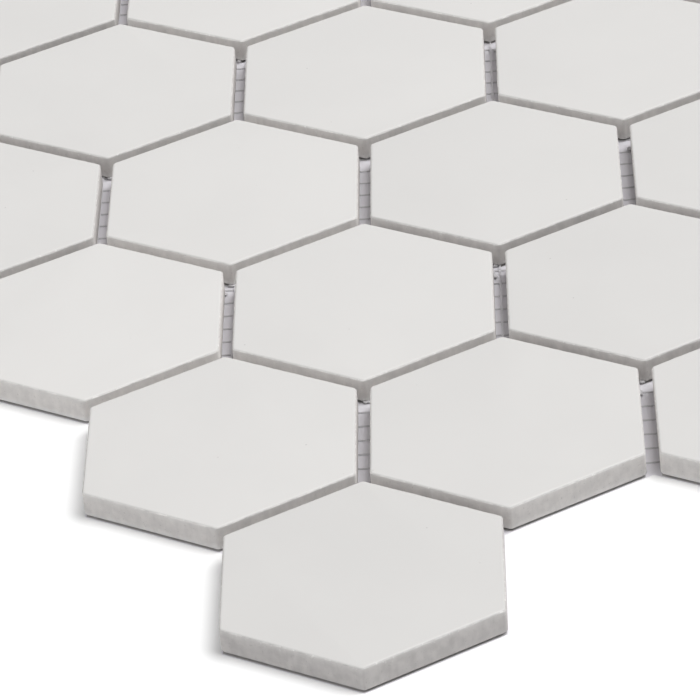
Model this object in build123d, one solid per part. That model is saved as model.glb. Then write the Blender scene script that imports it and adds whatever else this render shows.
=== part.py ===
from build123d import *
from math import hypot, sqrt
import os

# Hexagon mosaic tile sheet: glazed porcelain tiles held in staggered rows by an open
# net on their backs. Millimetres, +Z up. The sheet lies face up on its net, the tile
# rows run along X, and the origin is on the floor under the middle of the sheet.

# Driving dimensions of one tile
TILE_FLATS = 51.5  # across two opposite sides
TILE_THICKNESS = 5.0  # back to glazed face
CORNER_RADIUS = 1.0  # the six upright corners
BEVEL_RUN = 0.4  # bevel round the glazed face, measured in from the side
BEVEL_DROP = 0.25  # and measured down from the face

# Driving dimensions of the sheet
ROWS = 6
TILES_PER_ROW = 6
JOINT = 2.5  # gap between the sides of neighbouring tiles

# Driving dimensions of the net
THREAD_SPACING = 4.85
THREAD_WIDTH = 0.45
WARP_THICKNESS = 0.25  # threads glued to the tile backs
WEFT_THICKNESS = 0.25  # threads crossing below them
WARP_ANGLE = -30.0  # degrees from the tile rows to the warp
NET_MARGIN = 0.75  # the net is trimmed this far inside the tiles' outer sides

# Places that follow from the driving dimensions
PITCH = TILE_FLATS + JOINT
ROW_PITCH = PITCH * sqrt(3) / 2
ROW_SHIFT = PITCH / 4  # each row lies this far off centre, in turn to the right and left
WARP_LEVEL = WEFT_THICKNESS
TILE_LEVEL = WARP_LEVEL + WARP_THICKNESS


def hexagon(flats):
    """A hexagon with two sides square to the rows, so neighbours in a row face flat to flat."""
    return RegularPolygon(flats / 2, 6, major_radius=False, rotation=30)


def make_tile():
    """One pressed tile standing on its back: rounded upright corners, bevelled face edge."""
    tile = extrude(hexagon(TILE_FLATS), TILE_THICKNESS)
    tile = fillet(tile.edges().filter_by(Axis.Z), CORNER_RADIUS)
    face = tile.faces().sort_by(Axis.Z)[-1]
    return chamfer(face.edges(), BEVEL_RUN, BEVEL_DROP, reference=face)


def tile_places():
    """Row number, column number and centre of every tile, from the front left corner."""
    for row in range(ROWS):
        shift = ROW_SHIFT if row % 2 == 0 else -ROW_SHIFT
        y = (row - (ROWS - 1) / 2) * ROW_PITCH
        for column in range(TILES_PER_ROW):
            x = (column - (TILES_PER_ROW - 1) / 2) * PITCH + shift
            yield row + 1, column + 1, x, y


def thread_bounds():
    """Where the middle of a thread may run: the sheet's stepped outline, drawn in.

    The sheet ends half a joint inside its outermost cells, and the net a margin inside
    the tiles, so that no thread shows outside them.
    """
    cells = [Pos(x, y) * hexagon(PITCH) for _, _, x, y in tile_places()]
    sheet = cells[0] + cells[1:]
    return offset(sheet, -(JOINT / 2 + NET_MARGIN + THREAD_WIDTH / 2), kind=Kind.INTERSECTION)


def thread_layer(bounds, angle, level, thickness):
    """Parallel threads at one angle, each a flat strip that is cut off square at its ends.

    A run shorter than one mesh would cross no other thread, so it is trimmed away.
    """
    reach = hypot(PITCH * (TILES_PER_ROW + 1), ROW_PITCH * (ROWS + 1))
    half_count = int(reach / 2 / THREAD_SPACING)
    turn = Rotation(0, 0, angle)
    threads = []
    for step in range(-half_count, half_count + 1):
        y = step * THREAD_SPACING
        inside = turn * Line((-reach / 2, y), (reach / 2, y)) & bounds
        for run in inside.edges() if inside else []:
            if run.length > THREAD_SPACING:
                strip = Pos(run @ 0.5) * turn * Rectangle(run.length, THREAD_WIDTH)
                threads.append(extrude(Pos(0, 0, level) * strip, thickness))
    return Compound([thread.solid() for thread in threads])


os.makedirs("parts", exist_ok=True)

tile = make_tile()
for row, column, x, y in tile_places():
    export_step(Pos(x, y, TILE_LEVEL) * tile, f"parts/tile_r{row}_c{column}.step")

bounds = thread_bounds()
warp = thread_layer(bounds, WARP_ANGLE, WARP_LEVEL, WARP_THICKNESS)
weft = thread_layer(bounds, WARP_ANGLE + 90, 0, WEFT_THICKNESS)
export_step(warp, "parts/net_warp.step")
export_step(weft, "parts/net_weft.step")

print("tile", round(tile.volume, 1), "mm3, faces", len(tile.faces()))
print("threads", len(warp.solids()), "warp and", len(weft.solids()), "weft")
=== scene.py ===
# %% [markdown]
# A hexagon mosaic tile sheet
#
# The real sheet is a set of small porcelain hexagons, glazed matt white on the face, that a
# net on their backs holds in staggered rows. This lesson dresses the solids of that sheet:
# it models one tile and one thread of each kind by hand, sets copies of them where the
# solids are, and gives each a finish worked out by nodes.

# %% Load the solids
import math
import random

import bmesh
import bpy
from mathutils import Matrix, Vector


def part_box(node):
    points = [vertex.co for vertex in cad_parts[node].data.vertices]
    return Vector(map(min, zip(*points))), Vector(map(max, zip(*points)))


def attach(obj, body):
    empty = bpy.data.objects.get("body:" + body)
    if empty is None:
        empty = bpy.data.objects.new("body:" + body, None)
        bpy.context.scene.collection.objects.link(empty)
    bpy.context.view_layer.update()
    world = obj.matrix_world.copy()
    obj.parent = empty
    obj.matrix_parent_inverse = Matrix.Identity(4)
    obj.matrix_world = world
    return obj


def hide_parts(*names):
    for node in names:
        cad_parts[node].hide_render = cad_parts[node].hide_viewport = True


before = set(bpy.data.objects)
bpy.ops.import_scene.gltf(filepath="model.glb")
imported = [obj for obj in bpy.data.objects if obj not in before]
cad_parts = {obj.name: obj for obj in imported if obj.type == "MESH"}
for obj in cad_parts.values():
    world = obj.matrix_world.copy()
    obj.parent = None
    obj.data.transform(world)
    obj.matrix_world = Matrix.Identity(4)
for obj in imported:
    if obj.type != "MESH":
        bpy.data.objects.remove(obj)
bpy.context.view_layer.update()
MM = 0.001
TILES = sorted(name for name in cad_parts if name.startswith("tile_"))
print("solids:", len(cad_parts), "of which tiles:", len(TILES))

# %% [markdown]
# Camera
#
# The photograph is a close view of one corner of the sheet, taken with a long lens from
# nearly a metre away, and the camera is tipped a little to one side. A long lens keeps the
# rows nearly parallel. The place, the aim and the tip were found by matching the corners
# of the tiles. The picture is square, so the sensor's width is also its height.

# %% Set up the camera
CAMERA_PLACE = Vector((0.77375, -0.42704, 0.49126))
CAMERA_AIM = Vector((0.08209, -0.08155, 0.0055))
CAMERA_TIP = math.radians(-5.99)
CAMERA_LENS_MM = 242.0
NEAREST_SEEN = 0.05
FARTHEST_SEEN = 50

camera_data = bpy.data.cameras.new("camera")
camera_data.lens = CAMERA_LENS_MM
camera_data.clip_start = NEAREST_SEEN
camera_data.clip_end = FARTHEST_SEEN
camera = bpy.data.objects.new("camera", camera_data)
bpy.context.scene.collection.objects.link(camera)
away = CAMERA_AIM - CAMERA_PLACE
looking = away.to_track_quat("-Z", "Y").to_matrix().to_4x4()
camera.matrix_world = (
    Matrix.Translation(CAMERA_PLACE) @ looking @ Matrix.Rotation(CAMERA_TIP, 4, "Z")
)
bpy.context.scene.camera = camera
bpy.context.scene.view_settings.view_transform = "Standard"
print("camera to aim in m:", round(away.length, 3))

# %% [markdown]
# Shader sums
#
# A finish is easier to read as a sum than as a web of nodes. A small class stands for one
# number that changes over a surface; adding or multiplying it adds a Math node. Every other
# node is added by one function, which sets the node up and then joins its sockets.


# %% Define the shader sums
class Signal:
    """A number that varies over a surface, as a socket of a node tree."""

    def __init__(self, tree, socket):
        self.tree = tree
        self.socket = socket

    def _math(self, operation, first, second):
        sockets = {0: first, 1: second}
        return add_node(self.tree, "ShaderNodeMath", {"operation": operation}, sockets)[0]

    def __add__(self, other):
        return self._math("ADD", self, other)

    __radd__ = __add__

    def __mul__(self, other):
        return self._math("MULTIPLY", self, other)

    __rmul__ = __mul__

    def __sub__(self, other):
        return self._math("SUBTRACT", self, other)

    def __rsub__(self, other):
        return self._math("SUBTRACT", other, self)

    def steps(self, low, high):
        """0 below low, 1 above high and a smooth change between."""
        settings = {"interpolation_type": "SMOOTHSTEP"}
        sockets = {"Value": self, "From Min": low, "From Max": high}
        return add_node(self.tree, "ShaderNodeMapRange", settings, sockets)["Result"]


class Outputs:
    """The outputs of a node, by name or number, each as a Signal."""

    def __init__(self, tree, node):
        self.tree = tree
        self.node = node

    def __getitem__(self, key):
        return Signal(self.tree, self.node.outputs[key])


def add_node(tree, kind, settings=None, sockets=None):
    """Add one node: its settings first, then the values or links of its sockets."""
    node = tree.nodes.new(kind)
    for name, value in (settings or {}).items():
        setattr(node, name, value)
    for name, value in (sockets or {}).items():
        if isinstance(value, Signal):
            tree.links.new(value.socket, node.inputs[name])
        else:
            node.inputs[name].default_value = value
    return Outputs(tree, node)


print("shader sums ready")

# %% Helpers for materials
# A Mix node has sockets for every kind of data. These are the ones for colours.
MIX_FACTOR = 0
MIX_FIRST = 6
MIX_SECOND = 7
MIX_RESULT = 2


def mix_colours(tree, factor, first, second):
    """A colour that goes from the first to the second as the factor goes from 0 to 1."""
    sockets = {MIX_FACTOR: factor, MIX_FIRST: first, MIX_SECOND: second}
    return add_node(tree, "ShaderNodeMix", {"data_type": "RGBA"}, sockets)[MIX_RESULT]


def new_material(name):
    """A material whose node tree is still empty."""
    material = bpy.data.materials.new(name)
    material.use_nodes = True
    material.node_tree.nodes.clear()
    return material, material.node_tree


def finish_material(tree, shader):
    """Join a shader to the material's output."""
    add_node(tree, "ShaderNodeOutputMaterial", sockets={"Surface": shader})


def seen_directly(tree):
    """1 for rays from the camera, straight or by a mirror or glass, and 0 for all others."""
    path = add_node(tree, "ShaderNodeLightPath")
    return path["Is Camera Ray"] + path["Is Glossy Ray"] + path["Is Transmission Ray"]


print("material helpers ready")

# %% [markdown]
# Floor
#
# The sheet lies on a studio table. In the photograph the table is pure white all round the
# sheet, what shows of it between the tiles is a cool pale grey, and a thin dark line runs
# along the foot of the tiles. One floor of one colour can't give all three. So a white
# floor, set above white for the camera alone, carries a grey patch under the sheet, drawn
# in to the tiles' outer sides, and under every tile a darker hexagon of painted shade, which
# deepens the shadow line at the tiles' foot. All other rays see the same plain grey
# everywhere, so the floor throws no extra light onto the tiles.

# %% Lay the floor
FLOOR_SIDE = 12.0
FLOOR_SEEN = (1.12, 1.12, 1.12, 1)
FLOOR_BOUNCE = (0.65, 0.65, 0.65, 1)


def paint_floor(piece, name, seen_colour):
    """Give a floor piece one colour for the camera and a plain grey for all other rays."""
    paint, tree = new_material(name)
    seen = add_node(tree, "ShaderNodeBsdfDiffuse", sockets={"Color": seen_colour})
    bounce = add_node(tree, "ShaderNodeBsdfDiffuse", sockets={"Color": FLOOR_BOUNCE})
    sockets = {0: seen_directly(tree), 1: bounce[0], 2: seen[0]}
    finish_material(tree, add_node(tree, "ShaderNodeMixShader", sockets=sockets)[0])
    piece.data.materials.append(paint)


bpy.ops.object.select_all(action="DESELECT")
bpy.ops.mesh.primitive_plane_add(size=FLOOR_SIDE, location=(0, 0, 0))
floor = bpy.context.object
floor.name = "floor"
paint_floor(floor, "white_table", FLOOR_SEEN)
print("floor", FLOOR_SIDE, "m square")


# %% Helpers to select, edit and join pieces
def select_only(piece):
    """Select one piece and make it the active one."""
    bpy.ops.object.select_all(action="DESELECT")
    piece.select_set(True)
    bpy.context.view_layer.objects.active = piece


def start_editing(piece):
    """Enter edit mode on one piece, with nothing selected."""
    select_only(piece)
    bpy.ops.object.mode_set(mode="EDIT")
    bpy.ops.mesh.select_all(action="DESELECT")


def stop_editing():
    """Leave edit mode."""
    bpy.ops.object.mode_set(mode="OBJECT")


def join_pieces(pieces, name):
    """Join some pieces into the first of them, under a new name."""
    bpy.ops.object.select_all(action="DESELECT")
    for piece in pieces:
        piece.select_set(True)
    bpy.context.view_layer.objects.active = pieces[0]
    bpy.ops.object.join()
    joined = bpy.context.object
    joined.name = name
    return joined


print("piece helpers ready")


# %% Measure the tiles and the joints between them
def middle_of(name):
    """The middle of a solid's box."""
    low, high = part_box(name)
    return (low + high) / 2


tile_low, tile_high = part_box(TILES[0])
TILE_FLATS = tile_high.x - tile_low.x
PITCH = (middle_of(TILES[1]) - middle_of(TILES[0])).length
JOINT = PITCH - TILE_FLATS
print("tile flats in mm:", round(TILE_FLATS / MM, 3), "joint in mm:", round(JOINT / MM, 3))

# %% Lay the grey patch and the darker hexagons of painted shade
PATCH_SEEN = (0.90, 0.88, 0.925, 1)
PATCH_LIFT = 0.005 * MM
# The darker hexagons are painted shade: a darker table under the tiles' edges, which deepens the
# shadow line at their foot.
PAINTED_SHADE_SEEN = (0.58, 0.565, 0.57, 1)
PAINTED_SHADE_INSET = 0.3 * MM
MERGE_DISTANCE = 0.001 * MM


def lay_hexagons(name, flats, lift):
    """Lay a flat hexagon on the table under every tile, and join them into one piece."""
    hexagons = []
    for tile_name in TILES:
        place = middle_of(tile_name)
        bpy.ops.mesh.primitive_circle_add(
            vertices=6,
            radius=flats / math.sqrt(3),
            fill_type="NGON",
            location=(place.x, place.y, lift),
        )
        hexagons.append(bpy.context.object)
    joined = join_pieces(hexagons, name)
    bpy.ops.object.transform_apply(location=True, rotation=True, scale=True)
    return joined


patch = lay_hexagons("table_patch", PITCH, PATCH_LIFT)
start_editing(patch)
bpy.ops.mesh.select_mode(type="FACE")
bpy.ops.mesh.select_all(action="SELECT")
bpy.ops.mesh.remove_doubles(threshold=MERGE_DISTANCE)
bpy.ops.mesh.inset(thickness=JOINT / 2, use_boundary=True)
bpy.ops.mesh.select_all(action="INVERT")
bpy.ops.mesh.delete(type="FACE")
stop_editing()
paint_floor(patch, "grey_table", PATCH_SEEN)
# Painted shade under every tile, drawn in a little from its outer sides.
painted_shade_flats = TILE_FLATS - 2 * PAINTED_SHADE_INSET
painted_shade_hexagons = lay_hexagons("painted_shade_under_tiles", painted_shade_flats, 2 * PATCH_LIFT)
paint_floor(painted_shade_hexagons, "painted_shade_table", PAINTED_SHADE_SEEN)
print("patch faces:", len(patch.data.polygons), "darker hexagons:", len(painted_shade_hexagons.data.polygons))

# %% [markdown]
# Lamps
#
# Three wide lamps light the table, as soft boxes do: a strong one high on the right, a low
# one on the left and a weak high one in front. So the tops are lit evenly, the sides that
# face the camera stay grey, the joints get darker towards their right, and the shadow on
# the table is short and soft. The surround is white to the camera and otherwise almost dark.

# %% Light the scene
UP = Vector((0, 0, 1))
LAMP_SPREAD = math.radians(54)
# Each lamp's degrees from straight above, degrees from the right towards behind, and strength
LAMPS = {
    "right_lamp": (33, 3, 0.95),
    "left_lamp": (55, 205, 0.32),
    "front_lamp": (22, 240, 0.10),
}

behind = Vector((away.x, away.y, 0)).normalized()
right = behind.cross(UP)
for name, (lean, turn, strength) in LAMPS.items():
    side = right * math.cos(math.radians(turn)) + behind * math.sin(math.radians(turn))
    source = side * math.sin(math.radians(lean)) + UP * math.cos(math.radians(lean))
    light = bpy.data.lights.new(name, "SUN")
    light.energy = strength * math.pi
    light.angle = LAMP_SPREAD
    lamp = bpy.data.objects.new(name, light)
    lamp.rotation_euler = source.to_track_quat("Z", "Y").to_euler()
    bpy.context.scene.collection.objects.link(lamp)
print("lamps:", list(LAMPS))

# %% Surround the scene
SURROUND = 0.03

world = bpy.data.worlds.new("surround")
bpy.context.scene.world = world
world.use_nodes = True
tree = world.node_tree
tree.nodes.clear()
strength = seen_directly(tree) * (1 - SURROUND) + SURROUND
background = add_node(
    tree, "ShaderNodeBackground", sockets={"Color": (1, 1, 1, 1), "Strength": strength}
)
add_node(tree, "ShaderNodeOutputWorld", sockets={"Surface": background[0]})
print("surround lights with", SURROUND)

# %% [markdown]
# One tile
#
# A tile is pressed from dry clay in a steel mould, glazed on its face and fired. Pressing
# gives flat upright sides, small round corners and a bevel round the face, and firing
# softens every edge a little. It could be a plain extruded hexagon, but then each edge
# would be a razor line. So a six-sided cylinder is started at the height of the sides
# alone: its corners are bevelled round, its face is inset and raised for the bevel, its
# back is inset and lowered, and the ridges that this leaves are bevelled once more. The
# long edges are cut into short ones, to be pulled about later. Two rings of edges close
# below the face keep the sides flat when that happens.

# %% Read the tile's heights from its solid
BEVEL_RUN = 0.4 * MM
BEVEL_DROP = 0.25 * MM
CORNER_RADIUS = 1.0 * MM
BACK_RUN = 0.25 * MM
BACK_RISE = 0.3 * MM


def heights_of(name):
    """The lowest and the highest level of a solid."""
    low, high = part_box(name)
    return low.z, high.z


TILE_BACK, TILE_FACE = heights_of(TILES[0])
SIDE_LOW = TILE_BACK + BACK_RISE
SIDE_HIGH = TILE_FACE - BEVEL_DROP
print("sides from and to in mm:", round(SIDE_LOW / MM, 3), round(SIDE_HIGH / MM, 3))

# %% Helpers to pick edges and faces
FACING = 0.99
LEVEL_SLACK = 0.05 * MM


def pick_edges(piece, test):
    """Select the edges whose two ends pass a test, and no others."""
    bpy.ops.mesh.select_all(action="DESELECT")
    bpy.ops.mesh.select_mode(type="EDGE")
    mesh = bmesh.from_edit_mesh(piece.data)
    count = 0
    for edge in mesh.edges:
        if test(edge.verts[0].co, edge.verts[1].co):
            edge.select_set(True)
            count += 1
    bmesh.update_edit_mesh(piece.data)
    return count


def pick_face(piece, direction, height):
    """Select the largest face that looks in a direction, at about a height."""
    bpy.ops.mesh.select_all(action="DESELECT")
    bpy.ops.mesh.select_mode(type="FACE")
    mesh = bmesh.from_edit_mesh(piece.data)
    faces = [
        face
        for face in mesh.faces
        if face.normal.dot(direction) > FACING
        and abs(face.calc_center_median().z - height) < LEVEL_SLACK
    ]
    largest = max(faces, key=lambda face: face.calc_area())
    largest.select_set(True)
    bmesh.update_edit_mesh(piece.data)


print("picking helpers ready")

# %% Start the tile as a six-sided block with round corners
CORNER_TRIM = CORNER_RADIUS * math.tan(math.radians(30))
CORNER_STEPS = 5
SIDE_CUTS = 23
RIM_DEPTHS = (0.35 * MM, 0.50 * MM)
UPRIGHT_RISE = 1 * MM
LONG_EDGE = 20 * MM

bpy.ops.object.select_all(action="DESELECT")
bpy.ops.mesh.primitive_cylinder_add(
    vertices=6,
    radius=TILE_FLATS / math.sqrt(3),
    depth=SIDE_HIGH - SIDE_LOW,
    location=(0, 0, (SIDE_HIGH + SIDE_LOW) / 2),
)
master = bpy.context.object
master.name = "tile_master"
bpy.ops.object.transform_apply(location=True, rotation=True, scale=True)
start_editing(master)
upright = pick_edges(master, lambda a, b: abs(a.z - b.z) > UPRIGHT_RISE)
bpy.ops.mesh.bevel(offset=CORNER_TRIM, segments=CORNER_STEPS, affect="EDGES")
long_edges = pick_edges(master, lambda a, b: (a - b).length > LONG_EDGE)
bpy.ops.mesh.subdivide(number_cuts=SIDE_CUTS)
for depth in RIM_DEPTHS:
    bpy.ops.mesh.select_all(action="SELECT")
    bpy.ops.mesh.bisect(plane_co=(0, 0, SIDE_HIGH - depth), plane_no=UP)
print("upright edges:", upright, "long edges:", long_edges)

# %% Raise the bevelled face and lower the back
pick_face(master, UP, SIDE_HIGH)
bpy.ops.mesh.inset(thickness=BEVEL_RUN)
bpy.ops.transform.translate(value=(0, 0, BEVEL_DROP))
pick_face(master, -UP, SIDE_LOW)
bpy.ops.mesh.inset(thickness=BACK_RUN)
bpy.ops.transform.translate(value=(0, 0, -BACK_RISE))
stop_editing()
print("tile faces:", len(master.data.polygons))

# %% Soften the ridges
RIDGE_ROUND = 0.1 * MM
RIDGE_STEPS = 2
RIDGE_LEVELS = (TILE_FACE, SIDE_HIGH, SIDE_LOW)
RIDGE_SLACK = 0.1 * MM
SAME_LEVEL = 0.01 * MM


def is_ridge(a, b):
    """True for a level edge at the height of a ridge, near the tile's outside."""
    level = abs(a.z - b.z) < SAME_LEVEL
    at_ridge = min(abs(a.z - z) for z in RIDGE_LEVELS) < SAME_LEVEL
    outside = (a + b).xy.length / 2 > TILE_FLATS / 2 - BEVEL_RUN - RIDGE_SLACK
    return level and at_ridge and outside


start_editing(master)
ridges = pick_edges(master, is_ridge)
bpy.ops.mesh.bevel(offset=RIDGE_ROUND, segments=RIDGE_STEPS, affect="EDGES")
stop_editing()
print("ridges softened:", ridges, "tile faces:", len(master.data.polygons))

# %% [markdown]
# Glaze and bare body
#
# The glaze is a matt, slightly warm white with a few pinholes, which are painted darker than
# the bare body as shade in the hole. It covers the face, is worn thin along the bevel, where
# its darker grey is also painted shade on the slope, and leaves a light spray and some white
# flecks on the top of the sides; the flecks are partly painted glints. Below that the fired
# body is bare: a grey stone colour, mottled and streaked upright by the mould, with fine specks
# and pits, and paler near the back, where the white wash that keeps tiles from sticking in
# the kiln is painted together with bounce light from the table. No two tiles fire alike, so
# each carries a number of its own for its shade; these numbers also paint the lighter and
# darker tones that the light gave each tile. Painting two materials on two sets of faces
# would end the glaze in a ruled line, so one material mixes both by height, and a noise
# shifts the height where the glaze stops.

# %% Start the tile's finish
porcelain, tree = new_material("porcelain")
place = add_node(tree, "ShaderNodeTexCoord")["Object"]
height = add_node(tree, "ShaderNodeSeparateXYZ", sockets={0: place})["Z"]
firing_and_painted_light = add_node(tree, "ShaderNodeAttribute", {"attribute_name": "firing_and_painted_light"})["Fac"]


def noise(tree, place, per_metre, detail, roughness=0.5):
    """Soft noise between 0 and 1 with about that many lumps in a metre."""
    sockets = {"Vector": place, "Scale": per_metre, "Detail": detail, "Roughness": roughness}
    return add_node(tree, "ShaderNodeTexNoise", sockets=sockets)["Fac"]


def marks(tree, place, per_metre, detail, start, full, roughness=0.5):
    """Marks taken from a noise: none where it is below start, and full above full."""
    return noise(tree, place, per_metre, detail, roughness).steps(start, full)


print("finish started:", porcelain.name)

# %% Find where glaze, spray, the worn bevel with painted shade, and the wash with painted bounce light lie
NOISE_MIDDLE = 0.5
GLAZE_END = SIDE_HIGH + 0.02 * MM
GLAZE_BLUR = 0.05 * MM
GLAZE_WANDER = 0.35 * MM
SPRAY_DEPTH = 1.3 * MM
WEAR_AND_SHADE_TOP = TILE_FACE - 0.02 * MM
WASH_AND_BOUNCE_LOW = TILE_BACK + 0.3 * MM
WASH_AND_BOUNCE_HIGH = TILE_BACK + 1.5 * MM
WASH_AND_BOUNCE_WANDER = 1.0 * MM

edge_noise = noise(tree, place, per_metre=700, detail=3)
uneven = edge_noise - NOISE_MIDDLE
glaze_line = height + uneven * GLAZE_WANDER
glazed = glaze_line.steps(GLAZE_END - GLAZE_BLUR, GLAZE_END + GLAZE_BLUR)
spray = glaze_line.steps(SIDE_HIGH - SPRAY_DEPTH, SIDE_HIGH)
# The bevel: its glaze is worn thin, and its darker grey is also painted shade on the slope.
worn_and_shaded_bevel = 1 - height.steps(SIDE_HIGH, WEAR_AND_SHADE_TOP)
# Paler near the back: kiln wash, and painted bounce light from the table.
wash_and_bounce = 1 - (height + uneven * WASH_AND_BOUNCE_WANDER).steps(WASH_AND_BOUNCE_LOW, WASH_AND_BOUNCE_HIGH)
print("glaze ends at", round(GLAZE_END / MM, 2), "mm and the wash at", round(WASH_AND_BOUNCE_HIGH / MM, 2), "mm")

# %% Scatter the marks of glaze and body
STREAK_LENGTH = 5
PINHOLES_PER_METRE = 130
PINHOLE_CORE = 0.012
PINHOLE_RIM = 0.030

cloud = marks(tree, place, per_metre=45, detail=3, start=0.30, full=0.70)
mottle = marks(tree, place, per_metre=450, detail=3, start=0.30, full=0.70)
upright_place = add_node(
    tree, "ShaderNodeMapping", sockets={"Vector": place, "Scale": (1, 1, 1 / STREAK_LENGTH)}
)["Vector"]
streak = marks(tree, upright_place, per_metre=900, detail=2, start=0.30, full=0.70)
specks = marks(tree, place, per_metre=2200, detail=2, start=0.64, full=0.72, roughness=0.6)
pits = marks(tree, place, per_metre=2600, detail=2, start=0.60, full=0.74)
# White flecks on the bevel: partly glaze flecks and partly painted glints.
flecks_and_glints = marks(tree, place, per_metre=1100, detail=2, start=0.62, full=0.72) * worn_and_shaded_bevel * spray
holes = add_node(
    tree, "ShaderNodeTexVoronoi", sockets={"Vector": place, "Scale": PINHOLES_PER_METRE}
)
pinholes = 1 - holes["Distance"].steps(PINHOLE_CORE, PINHOLE_RIM)
print("nodes for the marks:", len(tree.nodes))

# %% Mix the glaze's colour
GLAZE_DARK = (0.630, 0.620, 0.608, 1)
GLAZE_PALE = (0.692, 0.680, 0.666, 1)
# Pinholes are painted darker than the bare body: the body they bare and painted shade in the hole.
PINHOLE_BODY_AND_SHADE_GREY = (0.40, 0.39, 0.38, 1)
FIRING_AND_LIGHT_IN_GLAZE = 0.8
CLOUD_IN_GLAZE = 0.2
PINHOLE_SHADE = 0.6

# Each tile's number shades its glaze: firing tone and painted light together.
glaze_shade = firing_and_painted_light * FIRING_AND_LIGHT_IN_GLAZE + cloud * CLOUD_IN_GLAZE
glaze = mix_colours(tree, glaze_shade, GLAZE_DARK, GLAZE_PALE)
holed_glaze = mix_colours(tree, pinholes * PINHOLE_SHADE, glaze, PINHOLE_BODY_AND_SHADE_GREY)
print("glaze from", GLAZE_DARK[:3], "to", GLAZE_PALE[:3])

# %% Mix the bare body's colour
BODY_DARK = (0.535, 0.514, 0.507, 1)
BODY_PALE = (0.872, 0.842, 0.818, 1)
SPECK_GREY = (0.30, 0.285, 0.275, 1)
WASH_AND_BOUNCE_WHITE = (0.95, 0.94, 0.93, 1)
SPRAY_AND_GLINT_WHITE = (0.86, 0.85, 0.83, 1)
FIRING_AND_LIGHT_IN_BODY = 0.75
MOTTLE_IN_BODY = 0.26
STREAK_IN_BODY = 0.12
BODY_DARKER = 0.065
SPECK_SHADE = 0.30
WASH_AND_BOUNCE_SHARE = 0.8
SPRAY_SHADE = 0.4

marked = mottle * MOTTLE_IN_BODY + streak * STREAK_IN_BODY
body_shade = firing_and_painted_light * FIRING_AND_LIGHT_IN_BODY + marked - BODY_DARKER
mottled_body = mix_colours(tree, body_shade, BODY_DARK, BODY_PALE)
speckled_body = mix_colours(tree, specks * SPECK_SHADE, mottled_body, SPECK_GREY)
# The pale band near the back is kiln wash and painted bounce light together.
washed_and_lit_body = mix_colours(tree, wash_and_bounce * firing_and_painted_light * WASH_AND_BOUNCE_SHARE, speckled_body, WASH_AND_BOUNCE_WHITE)
sprayed_body = mix_colours(tree, spray * SPRAY_SHADE, washed_and_lit_body, SPRAY_AND_GLINT_WHITE)
print("body from", BODY_DARK[:3], "to", BODY_PALE[:3])

# %% Bring glaze and body together
# The bevel's grey is worn glaze and painted shade on the sloping bevel.
WORN_AND_SHADED_GREY = (0.36, 0.347, 0.338, 1)
WEAR_AND_SHADE_SHARE = 0.5
LEAST_WEAR_AND_SHADE = 0.3
FLECK_AND_GLINT_SHARE = 0.8

thin_and_shaded_glaze = mix_colours(tree, WEAR_AND_SHADE_SHARE, washed_and_lit_body, WORN_AND_SHADED_GREY)
worn_and_shaded_glaze = mix_colours(tree, worn_and_shaded_bevel * (edge_noise + LEAST_WEAR_AND_SHADE), holed_glaze, thin_and_shaded_glaze)
glaze_and_body = mix_colours(tree, glazed, sprayed_body, worn_and_shaded_glaze)
# The flecks add painted glints along the bevel as well as glaze flecks.
tile_colour = mix_colours(tree, flecks_and_glints * FLECK_AND_GLINT_SHARE, glaze_and_body, SPRAY_AND_GLINT_WHITE)
print("nodes with the colours:", len(tree.nodes))

# %% Add the relief and the gloss
BARE_ROUGHNESS = 0.75
GLAZE_SMOOTHNESS = 0.27
GRAIN_IN_ROUGHNESS = 0.1
GRAIN_IN_RELIEF = 0.4
TILE_RELIEF = 0.25
TILE_RELIEF_DEPTH = 0.05 * MM


def finish_surface(tree, colour, roughness, relief, strength, depth):
    """End a material in a shader with a colour, a roughness and a relief of some depth."""
    bump = add_node(
        tree,
        "ShaderNodeBump",
        sockets={"Strength": strength, "Distance": depth, "Height": relief},
    )
    shader = add_node(
        tree,
        "ShaderNodeBsdfPrincipled",
        sockets={"Base Color": colour, "Roughness": roughness, "Normal": bump["Normal"]},
    )
    finish_material(tree, shader["BSDF"])


grain = noise(tree, place, per_metre=1500, detail=4, roughness=0.6)
smooth = glazed * (1 - worn_and_shaded_bevel) * GLAZE_SMOOTHNESS
roughness = BARE_ROUGHNESS - smooth + (grain - NOISE_MIDDLE) * GRAIN_IN_ROUGHNESS
relief = grain * GRAIN_IN_RELIEF - pits * (1 - glazed) - pinholes
finish_surface(tree, tile_colour, roughness, relief, TILE_RELIEF, TILE_RELIEF_DEPTH)
print("porcelain nodes:", len(tree.nodes))

# %% [markdown]
# All the tiles
#
# Every solid gets its own copy of the tile, turned by some sixths of a turn so that
# neighbours differ. The edge round the face is then pulled about by a few hundredths of a
# millimetre, with a new seed each time, because a fired edge is never quite straight. The
# points are pulled outwards too, so the tile is shrunk by as much first, and no point leaves
# its solid.

# %% Set a copy of the tile on every solid
# The seed is picked so that the tiles' drawn shades also paint how the light fell on each tile,
# besides their real differences of firing.
SHADE_SEED = 5813
EDGE_SEEDS = 1000
EDGE_WANDER = 0.06 * MM
SHRINK = 1 - 2 * EDGE_WANDER / TILE_FLATS
SIXTH_TURN = math.radians(60)
TILE_SMOOTHING = math.radians(30)


def copy_of(piece):
    """A copy with a mesh of its own, put in the scene."""
    copy = piece.copy()
    copy.data = piece.data.copy()
    bpy.context.scene.collection.objects.link(copy)
    return copy


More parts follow.
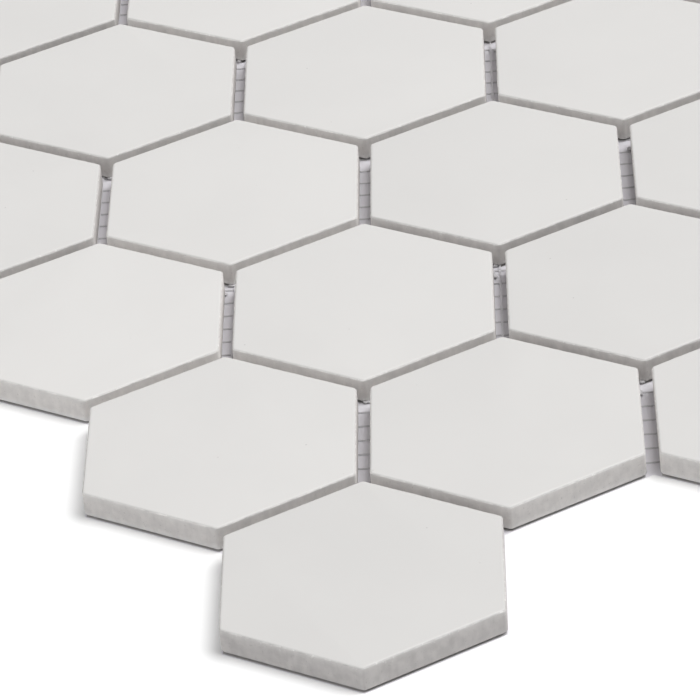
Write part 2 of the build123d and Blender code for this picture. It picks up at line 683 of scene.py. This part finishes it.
random.seed(SHADE_SEED)
master.data.materials.append(porcelain)
select_only(master)
bpy.ops.object.shade_smooth_by_angle(angle=TILE_SMOOTHING)
for name in TILES:
    tile = copy_of(master)
    tile.name = "glazed_" + name
    turn = Matrix.Rotation(SIXTH_TURN * random.randrange(6), 4, "Z")
    tile.data.transform(Matrix.Diagonal((SHRINK, SHRINK, 1, 1)) @ turn)
    start_editing(tile)
    pick_edges(tile, lambda a, b: abs(a.z + b.z - 2 * SIDE_HIGH) < 2 * RIDGE_ROUND)
    bpy.ops.transform.vertex_random(offset=EDGE_WANDER, seed=random.randrange(EDGE_SEEDS))
    stop_editing()
    middle = middle_of(name)
    tile.data.transform(Matrix.Translation((middle.x, middle.y, 0)))
    shade = tile.data.attributes.new("firing_and_painted_light", "FLOAT", "POINT")
    shade.data.foreach_set("value", [random.random()] * len(tile.data.vertices))
    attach(tile, "root")
    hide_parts(name)
bpy.data.objects.remove(master)
print("tiles placed:", len(TILES))

# %% [markdown]
# The net's threads
#
# The net is woven glass fibre. Its weft is a flat ribbon of fibres. Its warp is a pair of
# thin strands that swap sides between one ribbon and the next, a weave called leno, which
# keeps the net from sliding out of square. A grid painted on a sheet would look flat in the
# open joints, so the threads are modelled. The solids have a plain strip for each thread,
# and a copy of each layer is taken apart to read where every strip starts and ends.

# %% Read where the threads run
WARP_ANGLE = math.radians(-30)
WEFT_ANGLE = math.radians(60)
OFFSET_DIGITS = 6
LEAST_SPACING = 1 * MM


def read_runs(name, angle):
    """Offset, start and end of every strip of a layer, measured along the layer's threads."""
    strips = copy_of(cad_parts[name])
    start_editing(strips)
    bpy.ops.mesh.select_all(action="SELECT")
    bpy.ops.mesh.remove_doubles(threshold=MERGE_DISTANCE)
    bpy.ops.mesh.separate(type="LOOSE")
    stop_editing()
    turn_back = Matrix.Rotation(-angle, 4, "Z")
    runs = []
    for strip in list(bpy.context.selected_objects):
        points = [turn_back @ vertex.co for vertex in strip.data.vertices]
        along = [point.x for point in points]
        across = [point.y for point in points]
        runs.append(((min(across) + max(across)) / 2, min(along), max(along)))
        bpy.data.objects.remove(strip)
    return sorted(runs)


warp_runs = read_runs("net_warp", WARP_ANGLE)
weft_runs = read_runs("net_weft", WEFT_ANGLE)
offsets = sorted({round(run[0], OFFSET_DIGITS) for run in warp_runs})
SPACING = min(b - a for a, b in zip(offsets, offsets[1:]) if b - a > LEAST_SPACING)
print("warp threads:", len(warp_runs), "weft threads:", len(weft_runs))
print("spacing in mm:", round(SPACING / MM, 3))

# %% Model one length of weft ribbon
UNIT_RADIUS = 0.5
WEFT_LOW, WEFT_HIGH = heights_of("net_weft")
WEFT_SIDES = 6
WEFT_WIDTH = 0.40 * MM
WEFT_SPREAD = 1.4
WEFT_FLATTEN = 0.5


def start_thread(name, sides, width, thickness, middle):
    """A ring with a thread's section, square to X, in edit mode and selected."""
    bpy.ops.object.select_all(action="DESELECT")
    bpy.ops.mesh.primitive_circle_add(
        vertices=sides, radius=UNIT_RADIUS, rotation=(0, math.radians(90), 0)
    )
    thread = bpy.context.object
    thread.name = name
    bpy.ops.object.transform_apply(location=True, rotation=True, scale=True)
    start_editing(thread)
    bpy.ops.mesh.select_all(action="SELECT")
    bpy.ops.transform.resize(value=(1, width, thickness))
    bpy.ops.transform.translate(value=middle)
    return thread


def draw_out(step):
    """Extrude the selected ring by a step."""
    bpy.ops.mesh.extrude_region_move(TRANSFORM_OT_translate={"value": step})


weft_thickness = WEFT_HIGH - WEFT_LOW
weft_middle = (0, 0, (WEFT_LOW + WEFT_HIGH) / 2)
weft_drop = (1 - WEFT_FLATTEN) * weft_thickness / 2
weft = start_thread("weft_master", WEFT_SIDES, WEFT_WIDTH, weft_thickness, weft_middle)
draw_out((SPACING / 2, 0, -weft_drop))
bpy.ops.transform.resize(value=(1, WEFT_SPREAD, WEFT_FLATTEN))
draw_out((SPACING / 2, 0, weft_drop))
bpy.ops.transform.resize(value=(1, 1 / WEFT_SPREAD, 1 / WEFT_FLATTEN))
stop_editing()
print("weft ribbon faces a mesh:", len(weft.data.polygons))

# %% Model one length of the warp pair
WARP_LOW, WARP_HIGH = heights_of("net_warp")
STRAND_SIDES = 4
STRAND_WIDTH = 0.22 * MM
STRAND_SWING = 0.16 * MM
STRAND_STEPS = 3

thickness = (WARP_HIGH - WARP_LOW) / 2
strands = []
for name, side, level in (
    ("upper_strand", 1, WARP_HIGH - thickness / 2),
    ("lower_strand", -1, WARP_LOW + thickness / 2),
):
    swing = [
        side * STRAND_SWING * math.cos(math.pi * step / STRAND_STEPS)
        for step in range(2 * STRAND_STEPS + 1)
    ]
    start = (0, swing[0], level)
    strands.append(start_thread(name, STRAND_SIDES, STRAND_WIDTH, thickness, start))
    for before, after in zip(swing, swing[1:]):
        draw_out((SPACING / STRAND_STEPS, after - before, 0))
    stop_editing()
warp = join_pieces(strands, "warp_master")
print("warp pair faces in two meshes:", len(warp.data.polygons))

# %% [markdown]
# Weaving
#
# One length of thread is repeated by an array until it is longer than any strip. Copies of
# that long thread are laid on the strips and cut off at both ends, as the maker's shears
# do. The knots fall on the crossings by themselves, since both layers count their meshes
# from the middle of the sheet.


# %% Make each thread long enough
def lengthen(thread, unit, runs):
    """Repeat a length of thread until it covers every run, in whole units from the middle."""
    start = math.floor(min(run[1] for run in runs) / unit) * unit
    end = max(run[2] for run in runs)
    thread.data.transform(Matrix.Translation((start, 0, 0)))
    select_only(thread)
    array = thread.modifiers.new("repeat", "ARRAY")
    array.count = math.ceil((end - start) / unit)
    array.use_relative_offset = False
    array.use_constant_offset = True
    array.constant_offset_displace = (unit, 0, 0)
    array.use_merge_vertices = True
    array.merge_threshold = MERGE_DISTANCE
    bpy.ops.object.modifier_apply(modifier="repeat")


lengthen(weft, SPACING, weft_runs)
lengthen(warp, 2 * SPACING, warp_runs)
print("long threads, faces:", len(weft.data.polygons), len(warp.data.polygons))

# %% Cut a thread for every strip and join each layer
THREAD_SMOOTHING = math.radians(65)


def lay_threads(thread, runs, angle, name):
    """Copy a long thread onto every run, cut both ends, and join the copies into one piece."""
    laid = []
    for offset, start, end in runs:
        copy = copy_of(thread)
        copy.data.transform(Matrix.Translation((0, offset, 0)))
        start_editing(copy)
        for cut, outwards in ((start, (-1, 0, 0)), (end, (1, 0, 0))):
            bpy.ops.mesh.select_all(action="SELECT")
            bpy.ops.mesh.bisect(
                plane_co=(cut, 0, 0), plane_no=outwards, use_fill=True, clear_outer=True
            )
        bpy.ops.mesh.select_all(action="SELECT")
        bpy.ops.mesh.normals_make_consistent(inside=False)
        stop_editing()
        laid.append(copy)
    layer = join_pieces(laid, name)
    layer.data.transform(Matrix.Rotation(angle, 4, "Z"))
    bpy.ops.object.shade_smooth_by_angle(angle=THREAD_SMOOTHING)
    bpy.data.objects.remove(thread)
    return layer


weft_layer = lay_threads(weft, weft_runs, WEFT_ANGLE, "woven_weft")
warp_layer = lay_threads(warp, warp_runs, WARP_ANGLE, "woven_warp")
print("weft faces:", len(weft_layer.data.polygons), "warp faces:", len(warp_layer.data.polygons))

# %% [markdown]
# Glass fibre
#
# Each thread is a bundle of fine glass fibres soaked in a binder. The flat weft is coloured
# greyer than the warp strands, so it shows as darker lines across the joints. Seen close, a
# thread has streaks along its length. They are too fine to model, so a noise makes them. It
# is turned to lie along the threads and drawn out twenty times in that direction, and the
# same noise lifts and lowers the surface.

# %% Mix the fibres' finish
FIBRES_PER_METRE = 14000
FIBRE_DRAWN_OUT = 20
FIBRE_SHARE = 0.7
BINDER_SHARE = 0.3
FIBRE_ROUGHNESS = 0.65
BINDER_SMOOTHNESS = 0.2
FIBRE_RELIEF = 0.4
FIBRE_RELIEF_DEPTH = 0.03 * MM


def fibre_finish(name, angle, shade, pale):
    """A finish of fibres that run at an angle, with their darkest and palest colours."""
    material, tree = new_material(name)
    place = add_node(tree, "ShaderNodeTexCoord")["Object"]
    turned = add_node(
        tree, "ShaderNodeMapping", sockets={"Vector": place, "Rotation": (0, 0, -angle)}
    )["Vector"]
    drawn = add_node(
        tree, "ShaderNodeMapping", sockets={"Vector": turned, "Scale": (1 / FIBRE_DRAWN_OUT, 1, 1)}
    )["Vector"]
    fibres = marks(tree, drawn, FIBRES_PER_METRE, detail=2, start=0.35, full=0.65)
    binder = marks(tree, place, per_metre=300, detail=2, start=0.35, full=0.65)
    paleness = fibres * FIBRE_SHARE + binder * BINDER_SHARE
    colour = mix_colours(tree, paleness, shade, pale)
    roughness = FIBRE_ROUGHNESS - binder * BINDER_SMOOTHNESS
    finish_surface(tree, colour, roughness, fibres, FIBRE_RELIEF, FIBRE_RELIEF_DEPTH)
    return material


print("fibres a metre:", FIBRES_PER_METRE)

# %% Finish the two layers
WARP_PALE = (0.86, 0.845, 0.875, 1)
WARP_SHADE = (0.72, 0.705, 0.735, 1)
# The weft is coloured greyer than the warp, so it shows as darker lines across the joints.
WEFT_PALE = (0.72, 0.71, 0.73, 1)
WEFT_SHADE = (0.52, 0.51, 0.53, 1)

for layer, node, angle, shade, pale in (
    (warp_layer, "net_warp", WARP_ANGLE, WARP_SHADE, WARP_PALE),
    (weft_layer, "net_weft", WEFT_ANGLE, WEFT_SHADE, WEFT_PALE),
):
    layer.data.materials.append(fibre_finish(node + "_fibre", angle, shade, pale))
    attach(layer, "root")
    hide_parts(node)
print("layers finished:", warp_layer.name, weft_layer.name)

# %% [markdown]
# Adhesive
#
# The maker rolls a white adhesive onto the tiles' backs and presses the net into it. A
# little is squeezed out under the corners, where three tiles meet, and dries as soft lumps.
# They fall by chance and are too small for the solids, so they are made here. One lump is a
# ball whose points are pulled about. Its copies are stretched and turned by chance and laid
# at the foot of the corners, some corners getting none and some two.

# %% Model one lump of adhesive
LUMP_SEGMENTS = 8
LUMP_RINGS = 5
LUMP_UNEVEN = 0.12
LUMP_SHAPE_SEED = 4

bpy.ops.object.select_all(action="DESELECT")
bpy.ops.mesh.primitive_uv_sphere_add(
    segments=LUMP_SEGMENTS, ring_count=LUMP_RINGS, radius=UNIT_RADIUS
)
lump = bpy.context.object
lump.name = "lump_master"
start_editing(lump)
bpy.ops.mesh.select_all(action="SELECT")
bpy.ops.transform.vertex_random(offset=LUMP_UNEVEN, seed=LUMP_SHAPE_SEED)
stop_editing()
print("faces of a lump:", len(lump.data.polygons))

# %% Say how a lump may lie
LUMP_WIDTH = (1.0 * MM, 1.6 * MM)
LUMP_LENGTH = (1.0 * MM, 2.6 * MM)
LUMP_HEIGHT = (0.5 * MM, 0.7 * MM)
LUMP_OUT = (-0.7 * MM, -0.2 * MM)
LUMP_ALONG = (-1.6 * MM, 1.6 * MM)
LUMP_TURN = (-0.4, 0.4)


def lay_lump(corner, out, angle):
    """Set a copy of the lump, stretched and turned by chance, at the foot of a corner."""
    size = [random.uniform(*limits) for limits in (LUMP_WIDTH, LUMP_LENGTH, LUMP_HEIGHT)]
    place = corner + out * random.uniform(*LUMP_OUT)
    place += UP.cross(out) * random.uniform(*LUMP_ALONG)
    place.z = size[2] * (UNIT_RADIUS + LUMP_UNEVEN)
    turn = Matrix.Rotation(angle + random.uniform(*LUMP_TURN), 4, "Z")
    copy = copy_of(lump)
    copy.data.transform(Matrix.Translation(place) @ turn @ Matrix.Diagonal((*size, 1)))
    return copy


print("lump length in mm:", [round(length / MM, 1) for length in LUMP_LENGTH])

# %% Lay lumps at the corners where three tiles meet
LUMP_SEED = 2917
LUMPS_AT_CORNER = (0, 1, 1, 2)
CORNER_ANGLES = [math.radians(degrees) for degrees in range(30, 360, 60)]
CORNER_REACH = TILE_FLATS / math.sqrt(3) - CORNER_RADIUS * (2 / math.sqrt(3) - 1)

random.seed(LUMP_SEED)
middles = [middle_of(name) for name in TILES]
lumps = []
for middle in middles:
    for angle in CORNER_ANGLES:
        out = Vector((math.cos(angle), math.sin(angle), 0))
        corner = middle + out * CORNER_REACH
        meeting = sum((other - corner).length < PITCH for other in middles)
        count = random.choice(LUMPS_AT_CORNER) if meeting == 3 else 0
        lumps += [lay_lump(corner, out, angle) for _ in range(count)]
adhesive = join_pieces(lumps, "adhesive_lumps")
bpy.ops.object.shade_smooth()
bpy.data.objects.remove(lump)
print("lumps:", len(lumps), "faces:", len(adhesive.data.polygons))

# %% Finish the adhesive
ADHESIVE_WHITE = (0.76, 0.75, 0.77, 1)
ADHESIVE_SHADE = (0.62, 0.61, 0.62, 1)
LEAST_ROUGHNESS = 0.4
SKIN_IN_ROUGHNESS = 0.2
SKIN_RELIEF = 0.4
SKIN_RELIEF_DEPTH = 0.05 * MM

dried, tree = new_material("dried_adhesive")
place = add_node(tree, "ShaderNodeTexCoord")["Object"]
skin = noise(tree, place, per_metre=1800, detail=3)
colour = mix_colours(tree, skin, ADHESIVE_SHADE, ADHESIVE_WHITE)
roughness = LEAST_ROUGHNESS + skin * SKIN_IN_ROUGHNESS
finish_surface(tree, colour, roughness, skin, SKIN_RELIEF, SKIN_RELIEF_DEPTH)
adhesive.data.materials.append(dried)
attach(adhesive, "root")
print("adhesive finished:", adhesive.name)
